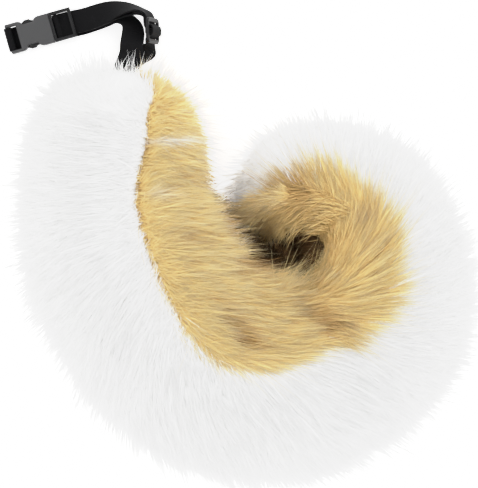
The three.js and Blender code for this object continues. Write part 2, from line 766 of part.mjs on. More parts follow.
// The origin is the middle of the underside of the whole object's box.
const box = new THREE.Box3().setFromObject(tail, true);
const middle = box.getCenter(new THREE.Vector3());
tail.position.set(-middle.x, -middle.y, -box.min.z);

export default tail;
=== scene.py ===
import json
import math
from collections import namedtuple

import bpy
import numpy as np
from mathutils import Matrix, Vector, kdtree


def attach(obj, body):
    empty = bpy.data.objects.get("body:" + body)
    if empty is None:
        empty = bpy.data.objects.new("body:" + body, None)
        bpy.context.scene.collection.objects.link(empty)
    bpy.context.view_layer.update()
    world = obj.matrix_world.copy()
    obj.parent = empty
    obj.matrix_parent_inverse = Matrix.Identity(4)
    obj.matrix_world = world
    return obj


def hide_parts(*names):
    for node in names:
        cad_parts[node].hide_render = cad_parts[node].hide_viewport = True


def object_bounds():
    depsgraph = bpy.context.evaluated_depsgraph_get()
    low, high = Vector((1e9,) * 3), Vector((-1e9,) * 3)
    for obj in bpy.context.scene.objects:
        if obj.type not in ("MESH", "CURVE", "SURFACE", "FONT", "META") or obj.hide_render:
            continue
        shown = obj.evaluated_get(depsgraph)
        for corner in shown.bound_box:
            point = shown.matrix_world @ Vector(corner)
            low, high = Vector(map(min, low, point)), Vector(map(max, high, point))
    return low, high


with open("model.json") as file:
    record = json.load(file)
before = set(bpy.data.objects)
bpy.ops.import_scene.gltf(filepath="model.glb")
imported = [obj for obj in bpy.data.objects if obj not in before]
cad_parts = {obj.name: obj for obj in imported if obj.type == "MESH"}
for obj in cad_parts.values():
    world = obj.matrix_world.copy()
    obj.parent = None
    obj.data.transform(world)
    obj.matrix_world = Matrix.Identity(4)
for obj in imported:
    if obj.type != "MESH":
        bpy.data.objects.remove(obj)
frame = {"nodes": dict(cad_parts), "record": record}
cad_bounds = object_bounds()

# Millimetres of the design, as in the part's source: the curl turns about x = 0, y = 0.
MM = 0.001
CURL_REACH = 263.0
FUR_WIDTH = 252.0
FUR_HEIGHT = 158.0
BACKING_WIDTH = 0.80  # width and height of the backing that the pile is rooted on, as shares of the fur's
BACKING_HEIGHT = 0.86
WIDEST = 0.34  # level of the backing's widest place and depth of its underside, as shares of the fur's height
SINK = 0.42
START_ROUNDING = 38.0
START_TRIM = 9.0  # how far inside the strap end the pile is rooted
END_ROUNDING = 62.0
FLOOR_GAP = 0.5  # least height of a strand above the floor
BEND = 0.45  # share of a strand's length at which it is thickest and bends
ROOT_DEPTH = 2.0  # how far a root lies inside the backing
STRAP_ENTRY = (-177.0, 190.0)  # where the webbing comes out of the fur
BELT_LOOP = (-217.4, 250.0)  # the belt loop's place in the design
WHITE_SIDE = 1
TAN_SIDE = -1
LEAST_WEIGHT = 1e-9
LOWEST_ROOT_DEGREES = {WHITE_SIDE: -62.0, TAN_SIDE: 242.0}  # round the section, from its outer side upwards

mount = next(m for m in frame["record"]["mounts"] if m["name"] == "belt_loop")
OFFSET = np.array([mount["pos_m"][0] / MM - BELT_LOOP[0], mount["pos_m"][1] / MM - BELT_LOOP[1], 0.0])

# corners of the room that single hairs may reach, in the design
ROOM_BESIDE = 20.0
ROOM_ABOVE = 11.0
NEAR_CORNER = np.array(cad_bounds[0]) / MM - OFFSET - [ROOM_BESIDE, ROOM_BESIDE, 0.0]
FAR_CORNER = np.array(cad_bounds[1]) / MM - OFFSET + [ROOM_BESIDE, ROOM_BESIDE, ROOM_ABOVE]

# turn in degrees, then reach, width, height and seam as shares, from the strap end to the tip
SECTIONS = np.array([
    (131.0, 1.000, 0.530, 0.62, 0.42),
    (136.0, 0.932, 0.660, 0.74, 0.38),
    (142.0, 0.874, 0.760, 0.84, 0.30),
    (149.5, 0.814, 0.845, 0.90, 0.29),
    (157.7, 0.764, 0.870, 0.94, 0.22),
    (166.8, 0.721, 0.900, 0.97, 0.20),
    (176.5, 0.674, 0.950, 0.99, 0.18),
    (188.0, 0.618, 0.990, 1.00, 0.14),
    (201.0, 0.582, 0.985, 1.00, 0.12),
    (215.0, 0.569, 0.970, 1.00, 0.09),
    (232.0, 0.550, 0.957, 0.99, 0.06),
    (249.0, 0.531, 0.930, 0.98, 0.09),
    (268.0, 0.517, 0.905, 0.96, 0.10),
    (286.0, 0.490, 0.840, 0.93, 0.10),
    (306.0, 0.479, 0.825, 0.90, 0.04),
    (330.0, 0.442, 0.785, 0.87, -0.10),
    (360.0, 0.395, 0.665, 0.82, -0.20),
    (390.0, 0.364, 0.600, 0.76, -0.25),
    (420.0, 0.326, 0.510, 0.69, -0.26),
    (450.0, 0.302, 0.430, 0.60, -0.10),
    (472.0, 0.270, 0.330, 0.50, -0.05),
    (492.0, 0.238, 0.220, 0.40, 0.00),
])
section_turn, section_reach, section_width, section_height, section_seam = SECTIONS.T

# How the pile lies, by turn: outwards and along the tail, for the white, for the tan beside the colour seam
# and for the tan on the inside of the curl.
FLOW = np.array([
    (131, 1.00, -0.10, -0.95, 0.10, -0.95, 0.10),
    (165, 1.00, 0.15, -0.92, 0.35, -0.90, 0.40),
    (195, 0.85, 0.50, -0.75, 0.62, -0.75, 0.62),
    (215, 0.75, 0.65, -0.52, 0.85, -0.60, 0.80),
    (235, 0.65, 0.75, -0.22, 0.97, -0.28, 0.95),
    (255, 0.65, 0.75, 0.10, 1.00, -0.10, 1.00),
    (275, 0.70, 0.70, 0.35, 0.90, 0.00, 1.00),
    (295, 0.80, 0.57, 0.80, 0.55, 0.10, 1.00),
    (330, 0.85, 0.50, 0.85, 0.50, 0.25, 0.95),
    (360, 0.85, 0.50, 0.80, 0.60, 0.30, 0.95),
    (405, 0.90, 0.40, 0.75, 0.65, 0.40, 0.90),
    (450, 0.95, 0.25, 0.65, 0.75, 0.50, 0.85),
    (492, 0.80, 0.60, 0.60, 0.80, 0.50, 0.85),
], float)
flow_turn, white_out, white_along, seam_out, seam_along, inner_out, inner_along = FLOW.T

# how far inside the colours' border the tan pile is rooted, by turn, as it lies outwards over the white
SEAM_LEAD = np.array([(131, 0), (235, 0), (255, 6), (270, 15), (290, 27), (450, 27), (492, 12)], float)


def unit(v):
    return v / np.maximum(np.linalg.norm(v, axis=1), 1e-9)[:, None]


def smooth01(x, low, high):
    t = np.clip((x - low) / (high - low), 0, 1)
    return t * t * (3 - 2 * t)


def catmull(values, t):
    """A smooth curve through the rows of values, read at shares t of its run from row to row."""
    padded = np.vstack([2 * values[0] - values[1], values, 2 * values[-1] - values[-2]])
    p = np.clip(t, 0, 1) * (len(values) - 1)
    i = np.minimum(p.astype(int), len(values) - 2)
    w = (p - i)[:, None]
    x0, x1, x2, x3 = padded[i], padded[i + 1], padded[i + 2], padded[i + 3]
    t0, t1 = 0.5 * (x2 - x0), 0.5 * (x3 - x1)
    return x1 + t0 * w + (-3 * x1 + 3 * x2 - 2 * t0 - t1) * w ** 2 + (2 * x1 - 2 * x2 + t0 + t1) * w ** 3


LINE_STEPS = 3001
turns = np.radians(section_turn)
line = np.column_stack([np.cos(turns), np.sin(turns)]) * section_reach[:, None] * CURL_REACH
sizes = np.column_stack([
    section_width * FUR_WIDTH / 2,
    section_height * FUR_HEIGHT,
    section_seam,
    section_turn,
])
steps = np.linspace(0, 1, LINE_STEPS)
line_at = catmull(line, steps)
size_at = catmull(sizes, steps)
run = np.concatenate([[0], np.cumsum(np.linalg.norm(np.diff(line_at, axis=0), axis=1))])
TAIL_LENGTH = run[-1]
share_at = run / TAIL_LENGTH
heading = unit(np.gradient(line_at, run, axis=0))

Section = namedtuple("Section", "middle forward outward half height seam turn")


def section(share):
    """The fur's section at each share of the tail's length from the strap end."""
    inside = np.clip(share, 0, 1)

    def read(column):
        return np.interp(inside, share_at, column)

    forward = unit(np.column_stack([read(heading[:, 0]), read(heading[:, 1])]))
    middle = np.column_stack([read(line_at[:, 0]), read(line_at[:, 1])])
    middle = middle + forward * ((share - inside) * TAIL_LENGTH)[:, None]
    outward = np.column_stack([forward[:, 1], -forward[:, 0]])
    half, height, seam, turn = (read(column) for column in size_at.T)
    return Section(middle, forward, outward, half, height, seam, turn)


def surface(share, angle, grow=0.0):
    """Points of the backing, or with grow of a section on the way from the backing to the fur's full size."""
    here = section(share)
    from_start = np.maximum(share * TAIL_LENGTH - START_TRIM, 0)
    to_end = np.minimum(from_start / START_ROUNDING, (1 - share) * TAIL_LENGTH / END_ROUNDING)
    rounded = np.sqrt(np.clip(1 - np.clip(1 - to_end, 0, 1) ** 2, 0, 1))
    across = here.half * (BACKING_WIDTH + (1 - BACKING_WIDTH) * grow) * rounded * np.cos(angle)
    rise = np.sin(angle)
    top = here.height * (BACKING_HEIGHT + (1 - BACKING_HEIGHT) * grow - WIDEST)
    level = here.height * WIDEST + np.where(rise > 0, top, here.height * SINK) * rise * rounded
    return np.column_stack([here.middle + here.outward * across[:, None], level])


def surface_normal(share, angle):
    share_step, angle_step = 0.0015, 0.02
    before, after = np.maximum(share - share_step, 0), np.minimum(share + share_step, 1)
    along = surface(after, angle) - surface(before, angle)
    around = surface(share, angle + angle_step) - surface(share, angle - angle_step)
    normal = unit(np.cross(around, along))
    here = section(share)
    centre = np.column_stack([here.middle, here.height * WIDEST])
    away = surface(share, angle) - centre
    return normal * np.sign(np.sum(normal * away, axis=1))[:, None]


def seam_angle(share):
    """The angle round the section at which the white pile's roots end and the tan's begin."""
    here = section(share)
    inwards = here.seam * here.half + np.interp(here.turn, SEAM_LEAD[:, 0], SEAM_LEAD[:, 1])
    return np.arccos(np.clip(-inwards / (here.half * BACKING_WIDTH), -0.9, 0.9))


def beside_seam(share, angle, band):
    """1 at the colour seam, falling to nothing within about twice the band's angle."""
    return np.exp(-(np.abs(angle - seam_angle(share)) / band) ** 2)


def near_start(share, reach, full):
    """0 from the strap end's reach on, and 1 where less than 1 - full of the reach is left to the end."""
    return smooth01(1 - share * TAIL_LENGTH / reach, 0.0, full)


def near_tip(share, reach, full):
    """The same at the tip."""
    return smooth01(1 - (1 - share) * TAIL_LENGTH / reach, 0.0, full)


def on_base_half(turn, last=260):
    """1 up to a turn of 225 degrees, falling to 0 at the last one."""
    return 1 - smooth01(turn, 225, last)


def placed(points):
    return (points + OFFSET) * MM


def mesh_object(name, vertices, faces):
    """A smooth mesh from arrays of places in metres and of triangles."""
    mesh = bpy.data.meshes.new(name)
    vertices = np.asarray(vertices, np.float32)
    faces = np.asarray(faces, np.int32)
    corners = faces.shape[1]
    mesh.vertices.add(len(vertices))
    mesh.vertices.foreach_set("co", vertices.ravel())
    mesh.loops.add(faces.size)
    mesh.loops.foreach_set("vertex_index", faces.ravel())
    mesh.polygons.add(len(faces))
    mesh.polygons.foreach_set("loop_start", np.arange(0, faces.size, corners, dtype=np.int32))
    mesh.polygons.foreach_set("use_smooth", np.full(len(faces), True))
    mesh.update(calc_edges=True)
    mesh.validate()
    obj = bpy.data.objects.new(name, mesh)
    bpy.context.scene.collection.objects.link(obj)
    return obj


def edit_all(obj):
    """Opens the object alone in edit mode with its whole mesh selected."""
    bpy.ops.object.select_all(action="DESELECT")
    bpy.context.view_layer.objects.active = obj
    obj.select_set(True)
    bpy.ops.object.mode_set(mode="EDIT")
    bpy.ops.mesh.select_all(action="SELECT")


def skin(name, side):
    """The underfur on one side of the colour seam, a closed body of rings with a flat wall at the seam."""
    rows, around = 150, 26
    seam_gap, floor_gap, tuft_height, grow = 0.003, 0.4, 3.0, 0.05
    share = np.linspace((START_TRIM + 0.4) / TAIL_LENGTH, 0.9995, rows)
    seam = seam_angle(share) - seam_gap * side
    bottom = -math.pi / 2 if side == WHITE_SIDE else 1.5 * math.pi
    rng = np.random.default_rng(5 + side)
    rings = []
    for j in range(around):
        angle = bottom + (seam - bottom) * j / (around - 1)
        tuft = tuft_height * rng.random(rows) * math.sin(math.pi * j / (around - 1)) ** 0.5
        rings.append(surface(share, angle, grow) + surface_normal(share, angle) * tuft[:, None])
    rings = np.array(rings)
    rings[:, :, 2] = np.maximum(rings[:, :, 2], floor_gap)
    ends = np.array([rings[:, 0].mean(0), rings[:, -1].mean(0)])
    points = np.vstack([rings.transpose(1, 0, 2).reshape(-1, 3), ends])
    first, last = rows * around, rows * around + 1
    i, j = np.divmod(np.arange((rows - 1) * around), around)
    k = (j + 1) % around
    walls = np.column_stack([i * around + j, i * around + k, (i + 1) * around + k, (i + 1) * around + j])
    if side == WHITE_SIDE:
        walls = walls[:, ::-1]
    j, k = j[:around], k[:around]
    start_cap = np.column_stack([np.full(around, first), k, j])
    tip_cap = np.column_stack([np.full(around, last), first - around + j, first - around + k])
    triangles = np.vstack([walls[:, [0, 1, 2]], walls[:, [0, 2, 3]], start_cap, tip_cap])
    obj = mesh_object(name, placed(points), triangles)
    edit_all(obj)
    bpy.ops.mesh.normals_make_consistent(inside=False)
    bpy.ops.object.mode_set(mode="OBJECT")
    return obj


def waves(points, seed, scale):
    """A smooth field from about -1 to 1 over the points."""
    rng = np.random.default_rng(seed)
    count = 6
    total = np.zeros(len(points))
    for _ in range(count):
        direction = rng.normal(size=3)
        direction /= np.linalg.norm(direction)
        total += np.sin(points @ direction / scale * (0.6 + rng.random()) * 2 * math.pi + rng.random() * 6.3)
    return total / math.sqrt(count) / 1.3


def turned(direction, angle):
    c, s = np.cos(angle), np.sin(angle)
    return np.column_stack([
        direction[:, 0] * c - direction[:, 1] * s,
        direction[:, 0] * s + direction[:, 1] * c,
        direction[:, 2],
    ])


def roots(count, side, weight, seed):
    """Places on one side of the seam, spread by area times weight(share, angle)."""
    rng = np.random.default_rng(seed)
    rows, cells = 320, 60
    share = (np.arange(rows) + 0.5) / rows
    seam = seam_angle(share)
    lowest = np.radians(LOWEST_ROOT_DEGREES[side])
    angle = lowest + (seam[:, None] - lowest) * ((np.arange(cells) + 0.5) / cells)[None, :]
    flat_share = np.repeat(share, cells)
    flat_angle = angle.ravel()
    half_row, half_cell = 0.5 / rows, 0.5 / cells * np.abs(np.repeat(seam, cells) - lowest)
    along = surface(flat_share + half_row, flat_angle) - surface(flat_share - half_row, flat_angle)
    around = surface(flat_share, flat_angle + half_cell) - surface(flat_share, flat_angle - half_cell)
    area = np.linalg.norm(np.cross(along, around), axis=1) * weight(flat_share, flat_angle)
    pick = rng.choice(len(area), size=count, p=area / area.sum())
    share = flat_share[pick] + (rng.random(count) - 0.5) / rows
    angle = flat_angle[pick] + (rng.random(count) - 0.5) * 2 * half_cell[pick]
    return np.clip(share, (START_TRIM + 1) / TAIL_LENGTH, 0.9992), angle


def lie(share, angle, side):
    """The level direction in which the pile lies at each root."""
    here = section(share)

    def flow(column):
        return np.interp(here.turn, flow_turn, column)

    if side == WHITE_SIDE:
        out, along = flow(white_out), flow(white_along)
    else:
        seam = seam_angle(share)
        inner = smooth01((angle - seam) / (math.pi - seam), 0.25, 0.95)
        out = flow(seam_out) * (1 - inner) + flow(inner_out) * inner
        along = flow(seam_along) * (1 - inner) + flow(inner_along) * inner
    at_start = near_start(share, 70, 0.9)
    at_tip = near_tip(share, 60, 0.9)
    plan = here.outward * out[:, None] + here.forward * along[:, None]
    plan = plan * (1 - 0.8 * at_start)[:, None] - here.forward * at_start[:, None]
    plan = plan * (1 - 0.7 * at_tip)[:, None] + here.forward * at_tip[:, None]
    return unit(np.column_stack([plan, np.zeros(len(share))]))


SEAM_BAND = 0.10
LONG_HAIRS = 0.13  # share of the strands that stand out of the coat
CURL_TURNS = (405, 440)  # the turns over which the pile closes in to that of the tip

# how much shorter the pile is, as shares of its length
SHORTER_OVER_STRAP = 0.72
SHORTER_AT_START = 0.45
SHORTER_AT_TIP = 0.30
SHORTER_INSIDE = 0.50
SHORTER_AT_SEAM = 0.35
LONG_HAIRS_KEEP = 0.40


def clumped(root, per_clump, rng):
    """The roots that head a clump, and for each root the number of the nearest head's clump."""
    clumps = max(1, len(root) // per_clump)
    heads = rng.choice(len(root), size=clumps, replace=False)
    tree = kdtree.KDTree(clumps)
    for k, head in enumerate(heads):
        tree.insert(Vector(root[head]), k)
    tree.balance()
    return heads, np.array([tree.find(Vector(p))[1] for p in root])


def strand_lengths(share, angle, root, clump_length, rng):
    """Each strand's length as a share of the coat's, and which strands are long hairs."""
    n = len(share)
    turn = section(share).turn
    length = clump_length * rng.uniform(0.72, 1.12, n)
    long_hair = rng.random(n) < LONG_HAIRS
    length = np.where(long_hair, length * rng.uniform(1.2, 1.95, n), length)
    from_start = share * TAIL_LENGTH
    over_strap = np.exp(-((root[:, 0] - STRAP_ENTRY[0]) / 20.0) ** 2) * (from_start < 60)
    inside = smooth01(angle, 2.4, 2.9) * (1 - smooth01(turn, 195, 225))
    at_seam = beside_seam(share, angle, SEAM_BAND) * on_base_half(turn)
    length = length * (1 - SHORTER_OVER_STRAP * over_strap)
    length = length * (1 - (SHORTER_AT_START - LONG_HAIRS_KEEP * long_hair) * near_start(share, 75, 0.8))
    length = length * (1 - SHORTER_AT_TIP * near_tip(share, 80, 0.8))
    length = length * (1 - SHORTER_INSIDE * inside)
    length = length * (1 - SHORTER_AT_SEAM * at_seam)
    return length, long_hair


def pile(share, angle, side, seed, rise, lay, per_clump, clump_pull, spread):
    """Centre lines of strands: root, bend and point, and random values for each strand and clump."""
    rng = np.random.default_rng(seed)
    n = len(share)
    root = surface(share, angle)
    normal = surface_normal(share, angle)
    turn = section(share).turn
    seam = beside_seam(share, angle, SEAM_BAND)

    heads, clump = clumped(root, per_clump, rng)
    clump_turn = rng.normal(0, spread, len(heads))[clump]
    clump_length = rng.uniform(0.85, 1.1, len(heads))[clump]
    clump_value = rng.random(len(heads))[clump]

    field = waves(root * [1, 1, 0.6], seed + 3, 120.0) * 0.22 + waves(root, seed + 4, 45.0) * 0.10
    stray = rng.normal(0, 1, n) * (spread * 0.4 + 0.55 * seam * on_base_half(turn))
    direction = turned(lie(share, angle, side), field + clump_turn + stray)
    facing = np.sum(direction * normal, axis=1)
    direction = unit(direction - normal * np.minimum(facing, 0)[:, None])
    length, long_hair = strand_lengths(share, angle, root, clump_length, rng)

    # where the pile points straight out of the backing it reaches less far, and its rise varies more
    outwards = np.clip(facing, 0, 1)
    at_curl = smooth01(turn, *CURL_TURNS)
    at_strap_end = 1 - smooth01(turn, 160, 185)
    held_back = 0.84 + 0.06 * smooth01(turn, 270, 300) + 0.04 * at_curl - 0.24 * long_hair
    lay_here = lay * length * (1 - held_back * outwards) * (1 - 0.25 * outwards * at_strap_end)
    even_rise = rng.uniform(0.7, 1.2, n)
    varied_rise = rng.uniform(0.35, 2.0, n)
    rise_here = rise * length * even_rise * (1 + 0.5 * seam)
    rise_here = rise_here * np.where(outwards > 0.45, varied_rise, 1.0) * (1 - 0.4 * outwards * at_curl)
    points = []
    for t in (0.0, BEND, 1.0):
        up = rise_here * (1.75 * t - 0.75 * t * t)
        over = lay_here * (0.35 * t + 0.65 * t * t)
        points.append(root + normal * (up - ROOT_DEPTH * (t == 0))[:, None] + direction * over[:, None])
    points = np.array(points)

    # each strand's bend and point are drawn to those of its clump's head
    pull = clump_pull * rng.uniform(0.5, 1.1, n)[:, None] * (1 - 0.8 * long_hair)[:, None]
    near = np.exp(-(np.linalg.norm(root - root[heads][clump], axis=1) / 16.0) ** 2)[:, None]
    drawn = points[:, heads][:, clump] - points
    points[2] += drawn[2] * pull * near + rng.normal(0, 1.5, (n, 3))
    points[1] += drawn[1] * pull * near * 0.35 + rng.normal(0, 0.5, (n, 3))
    return points, rng.random(n), clump_value, 1 - 0.22 * long_hair


def level_aim(share, forward, outward, spread, rng):
    """Level directions made of so much forward and so much outward, each turned by chance."""
    here = section(share)
    plan = here.forward * forward + here.outward * outward
    return turned(unit(np.column_stack([plan, np.zeros(len(share))])), rng.normal(0, spread, len(share)))


def straight(root, aim, length, lift, drift):
    """Centre lines that run straight in the plan, with the middle raised by lift and the point by drift."""
    points = np.array([root, root + aim * (length * 0.5)[:, None], root + aim * length[:, None]])
    points[1, :, 2] += lift
    points[2, :, 2] += drift
    return points


def strands(name, points, radius, values):
    """Closed three-sided spindles along the centre lines, with values kept as the point attribute fur.

    Hairs that leave the room are made shorter. The name's length seeds how the spindles are turned.
    """
    n = points.shape[1]
    rng = np.random.default_rng(len(name))
    reach = points[1:] - points[0]
    edge = np.where(reach[1] > 0, FAR_CORNER, NEAR_CORNER) - points[0]
    fit = np.clip(edge / np.where(np.abs(reach[1]) < 1e-6, 1e-6, reach[1]), 0, 1).min(axis=1)
    points = np.concatenate([points[:1], points[0] + reach * fit[:, None]])

    tangent = unit(points[2] - points[0])
    side = unit(np.cross(tangent, rng.normal(size=(n, 3))))
    other = np.cross(tangent, side)
    vertices = np.empty((n, 5, 3))
    vertices[:, 0] = points[0]
    vertices[:, 4] = points[2]
    for k in range(3):
        a = 2 * math.pi * k / 3
        vertices[:, 1 + k] = points[1] + (side * math.cos(a) + other * math.sin(a)) * radius[:, None]
    vertices[:, :, 2] = np.maximum(vertices[:, :, 2], FLOOR_GAP)
    pattern = []
    for k in range(3):
        m = (k + 1) % 3
        pattern += [(0, 1 + m, 1 + k), (1 + k, 1 + m, 4)]
    faces = (np.arange(n)[:, None, None] * 5 + np.array(pattern)[None]).reshape(-1, 3)
    obj = mesh_object(name, placed(vertices.reshape(-1, 3)), faces)
    along = np.tile(np.array([0, BEND, BEND, BEND, 1.0]), n)
    tones = np.column_stack([along] + [np.repeat(v, 5) for v in values])
    attribute = obj.data.attributes.new("fur", "FLOAT_COLOR", "POINT")
    attribute.data.foreach_set("color", tones.astype(np.float32).ravel())
    return obj


def add_math(nodes, links, operation, *terms, clamp=False):
    """A math node on sockets or numbers, and its output."""
    node = nodes.new("ShaderNodeMath")
    node.operation = operation
    node.use_clamp = clamp
    for socket, term in zip(node.inputs, terms):
        if isinstance(term, (int, float)):
            socket.default_value = term
        else:
            links.new(term, socket)
    return node.outputs[0]


def pile_tone_group():
    """One strand's colour. The attribute fur holds its place along the strand, the tones of the strand and of
    its clump, and as alpha how much darker, below 0, or paler, above 0, the coat is there."""
    group = bpy.data.node_groups.new("pile_tone", "ShaderNodeTree")
    for name, kind in (
        ("Along", "NodeSocketColor"),
        ("Strand spread", "NodeSocketFloat"),
        ("Clump spread", "NodeSocketFloat"),
        ("Dark", "NodeSocketColor"),
        ("Pale", "NodeSocketColor"),
    ):
        group.interface.new_socket(name, in_out="INPUT", socket_type=kind)
    group.interface.new_socket("Color", in_out="OUTPUT", socket_type="NodeSocketColor")
    nodes, links = group.nodes, group.links
    given = nodes.new("NodeGroupInput").outputs
    result = nodes.new("NodeGroupOutput")
    read = nodes.new("ShaderNodeAttribute")
    read.attribute_name = "fur"
    split = nodes.new("ShaderNodeSeparateColor")
    links.new(read.outputs["Color"], split.inputs[0])
    tones = []
    for channel, spread in ((1, "Strand spread"), (2, "Clump spread")):
        from_middle = add_math(nodes, links, "SUBTRACT", split.outputs[channel], 0.5)
        tones.append(add_math(nodes, links, "MULTIPLY_ADD", from_middle, given[spread], 1.0))
    tone = add_math(nodes, links, "MULTIPLY", *tones)
    toned = nodes.new("ShaderNodeVectorMath")
    toned.operation = "SCALE"
    links.new(given["Along"], toned.inputs[0])
    links.new(tone, toned.inputs["Scale"])
    darker = nodes.new("ShaderNodeMix")
    darker.data_type = "RGBA"
    darker.blend_type = "MULTIPLY"
    links.new(toned.outputs[0], darker.inputs["A"])
    links.new(given["Dark"], darker.inputs["B"])
    low = add_math(nodes, links, "MULTIPLY", read.outputs["Alpha"], -1.0, clamp=True)
    links.new(low, darker.inputs["Factor"])
    lighter = nodes.new("ShaderNodeMix")
    lighter.data_type = "RGBA"
    links.new(darker.outputs["Result"], lighter.inputs["A"])
    links.new(given["Pale"], lighter.inputs["B"])
    high = add_math(nodes, links, "MULTIPLY", read.outputs["Alpha"], 1.0, clamp=True)
    links.new(high, lighter.inputs["Factor"])
    links.new(lighter.outputs["Result"], result.inputs["Color"])
    return group


def new_material(name):
    material = bpy.data.materials.new(name)
    material.use_nodes = True
    return material, material.node_tree.nodes["Principled BSDF"]


def fur_material(name, stops, dark, pale, strand_spread, clump_spread, sheen=0.0, glow=0.0):
    """Pile with a colour for each stop from root to point."""
    material, shader = new_material(name)
    nodes, links = material.node_tree.nodes, material.node_tree.links
    read = nodes.new("ShaderNodeAttribute")
    read.attribute_name = "fur"
    split = nodes.new("ShaderNodeSeparateColor")
    links.new(read.outputs["Color"], split.inputs[0])
    along = nodes.new("ShaderNodeValToRGB")
    elements = along.color_ramp.elements
    while len(elements) < len(stops):
        elements.new(0.5)
    for element, (place, colour) in zip(elements, stops):
        element.position = place
        element.color = (*colour, 1)
    links.new(split.outputs[0], along.inputs[0])
    tone = nodes.new("ShaderNodeGroup")
    tone.node_tree = PILE_TONE
    links.new(along.outputs[0], tone.inputs["Along"])
    tone.inputs["Strand spread"].default_value = strand_spread
    tone.inputs["Clump spread"].default_value = clump_spread
    tone.inputs["Dark"].default_value = (*dark, 1)
    tone.inputs["Pale"].default_value = (*pale, 1)
    links.new(tone.outputs["Color"], shader.inputs["Base Color"])
    shader.inputs["Roughness"].default_value = 0.62
    shader.inputs["Specular IOR Level"].default_value = 0.15
    shader.inputs["Emission Color"].default_value = (1, 1, 1, 1)
    shader.inputs["Emission Strength"].default_value = glow
    shader.inputs["Sheen Weight"].default_value = sheen
    shader.inputs["Sheen Roughness"].default_value = 0.5
    return material


def plain_material(name, colour, roughness, specular, glow=0.0):
    material, shader = new_material(name)
    shader.inputs["Base Color"].default_value = (*colour, 1)
    shader.inputs["Roughness"].default_value = roughness
    shader.inputs["Specular IOR Level"].default_value = specular
    shader.inputs["Emission Color"].default_value = (1, 1, 1, 1)
    shader.inputs["Emission Strength"].default_value = glow
    return material


def woven_ribs(material, angles, spacing, depth):
    """Fine ribs across object space, one set for each angle in degrees, as a bump."""
    nodes, links = material.node_tree.nodes, material.node_tree.links
    place = nodes.new("ShaderNodeTexCoord")
    height = None
    for degrees in angles:
        turn = nodes.new("ShaderNodeMapping")
        turn.inputs["Rotation"].default_value = (0, 0, math.radians(degrees))
        links.new(place.outputs["Object"], turn.inputs["Vector"])
        ribs = nodes.new("ShaderNodeTexWave")
        ribs.wave_type = "BANDS"
        ribs.inputs["Scale"].default_value = 0.314 / (spacing * MM)
        ribs.inputs["Distortion"].default_value = 0.4
        links.new(turn.outputs["Vector"], ribs.inputs["Vector"])
        rib_height = ribs.outputs["Fac"]
        height = rib_height if height is None else add_math(nodes, links, "MULTIPLY", height, rib_height)
    bump = nodes.new("ShaderNodeBump")
    bump.inputs["Strength"].default_value = 0.6
    bump.inputs["Distance"].default_value = depth * MM
    links.new(height, bump.inputs["Height"])
    links.new(bump.outputs["Normal"], nodes["Principled BSDF"].inputs["Normal"])


PILE_TONE = pile_tone_group()
# the white pile's glow is painted light that fills the shade between its strands
WHITE_FUR = fur_material(
    "white_pile",
    [(0.0, (0.93, 0.925, 0.92)), (0.45, (0.93, 0.93, 0.925)), (1.0, (0.93, 0.93, 0.925))],
    dark=(0.6, 0.58, 0.55), pale=(0.95, 0.95, 0.945), strand_spread=0.02, clump_spread=0.02,
    sheen=0.2, glow=0.10,
)
TAN_FUR = fur_material(
    "tan_pile",
    [
        (0.0, (0.66, 0.45, 0.18)),
        (0.3, (0.79, 0.56, 0.225)),
        (0.7, (0.90, 0.71, 0.34)),
        (1.0, (0.98, 0.87, 0.59)),
    ],
    dark=(0.32, 0.14, 0.04), pale=(0.95, 0.93, 0.89), strand_spread=0.20, clump_spread=0.26,
)
# very dark tan pile: painted shade deep in the hollow and in the gap between the base and the tip
HOLLOW_SHADE_FUR = fur_material(
    "tan_pile_painted_as_hollow_shade",
    [(0.0, (0.07, 0.038, 0.015)), (0.5, (0.15, 0.083, 0.033)), (1.0, (0.30, 0.185, 0.08))],
    dark=(0.3, 0.2, 0.1), pale=(0.5, 0.4, 0.25), strand_spread=0.4, clump_spread=0.3,
)
WHITE_SKIN = plain_material("white_underfur", (0.90, 0.90, 0.895), roughness=0.9, specular=0.1)
TAN_SKIN = plain_material("tan_underfur", (0.66, 0.48, 0.22), roughness=0.9, specular=0.1)
# one black plastic in two copies: painted lighter on the socket, whose face catches the light, painted darker
# as shade on the plug and slider
BLACK_PLASTIC_PAINTED_LIT = plain_material("satin_black_plastic_painted_lit", (0.030, 0.030, 0.031), roughness=0.36, specular=0.35)
BLACK_PLASTIC_PAINTED_SHADE = plain_material("matt_black_plastic_painted_shade", (0.006, 0.006, 0.0065), roughness=0.45, specular=0.18)
WEBBING = plain_material("black_webbing", (0.003, 0.003, 0.0035), roughness=0.85, specular=0.12)
FLOOR = plain_material("pale_floor", (0.93, 0.93, 0.93), roughness=0.9, specular=0.0, glow=0.9)
WEBBING_TURN = 15.7
woven_ribs(WEBBING, (WEBBING_TURN + 45, WEBBING_TURN - 45), spacing=1.6, depth=0.25)


def dress(obj, material):
    obj.data.materials.clear()
    obj.data.materials.append(material)
    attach(obj, "root")


white_skin = skin("underfur_white", WHITE_SIDE)
dress(white_skin, WHITE_SKIN)
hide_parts("tail_white_fur")
tan_skin = skin("underfur_tan", TAN_SIDE)
dress(tan_skin, TAN_SKIN)
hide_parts("tail_tan_fur")


def white_weight(share, angle):
    at_edge = np.exp(-((angle - 0.15) / 0.45) ** 2)
    return 1.0 + 0.7 * at_edge - 0.5 * (angle < -0.5) + 1.6 * beside_seam(share, angle, 0.12)


def tan_weight(share, angle):
    return 1.0 - 0.5 * smooth01(angle, 2.7, 3.3) + 1.6 * beside_seam(share, angle, 0.12)


def cross_over(share, angle, side, part, reach, seed):
    """Moves some roots beside the seam a little way over it, so that the two colours mingle."""
    rng = np.random.default_rng(seed)
    apart = np.abs(angle - seam_angle(share))
    goes = (rng.random(len(share)) < part * on_base_half(section(share).turn, 255)) & (apart < reach)
    return np.where(goes, angle + side * apart * rng.uniform(1.0, 2.2, len(share)), angle)
